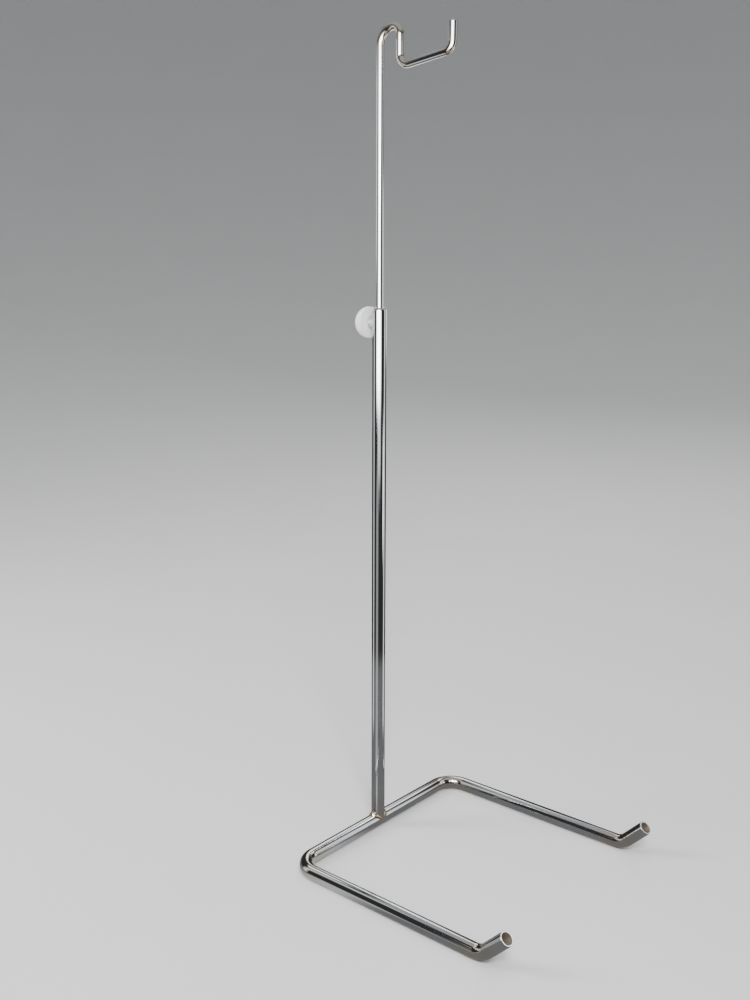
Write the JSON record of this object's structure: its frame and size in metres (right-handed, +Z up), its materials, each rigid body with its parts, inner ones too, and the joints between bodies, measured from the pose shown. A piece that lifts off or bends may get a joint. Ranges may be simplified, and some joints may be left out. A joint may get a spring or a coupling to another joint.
{
  "type": "counter hook stand",
  "caption": "Chrome table-top stand: U-shaped tube foot, welded upright tube, and a height-adjustable rod that ends in a hook, clamped by a thumbscrew.",
  "frame": {"origin": "on the floor, under the upright's axis, in the middle of the foot's crossbar", "axes": "+Z up along the upright, +X forward along the legs and the hook's arm, +Y along the crossbar"},
  "size_m": [0.2499, 0.2366, 0.7235],
  "materials": {
    "tube_chrome": "bright chrome plate on drawn tube",
    "rod_chrome": "bright chrome plate on drawn rod",
    "weld": "plated weld, rippled, faint golden tint",
    "knob_plastic": "moulded white plastic, semi-gloss",
    "plated_steel": "bright zinc plate",
    "spring_steel": "dark spring steel",
    "brass_pad": "turned",
    "nylon": "moulded natural nylon"
  },
  "bodies": {
    "frame": {"base_tube": "tube_chrome", "upright_tube": "tube_chrome", "foot_weld": "weld", "screw_boss": "plated_steel"},
    "glide": {"rod_glide": "nylon"},
    "rod": {"hook_rod": "rod_chrome", "rod_clip_lower": "spring_steel", "rod_clip_upper": "spring_steel"},
    "pad": {"screw_pad": "brass_pad"},
    "screw": {"screw_stud": "plated_steel", "screw_head": "knob_plastic"}
  },
  "joints": [
    {"name": "height", "type": "slide", "parent": "frame", "child": "glide", "axis": [0, 0, 1], "range_m": [-0.19, 0.1]},
    {"name": "swivel", "type": "hinge", "parent": "glide", "child": "rod", "pos_m": [0, 0, 0.362], "axis": [0, 0, 1], "continuous": true},
    {"name": "screw_travel", "type": "slide", "parent": "frame", "child": "pad", "axis": [-1, 0, 0], "range_m": [0, 0.004]},
    {"name": "screw_turn", "type": "hinge", "parent": "pad", "child": "screw", "pos_m": [0, 0, 0.4785], "axis": [-1, 0, 0], "range_deg": [0, 1800]}
  ],
  "couplings": [
    {"joint": "screw_travel", "follows": "screw_turn", "m_per_rad": 0.00012732}
  ]
}
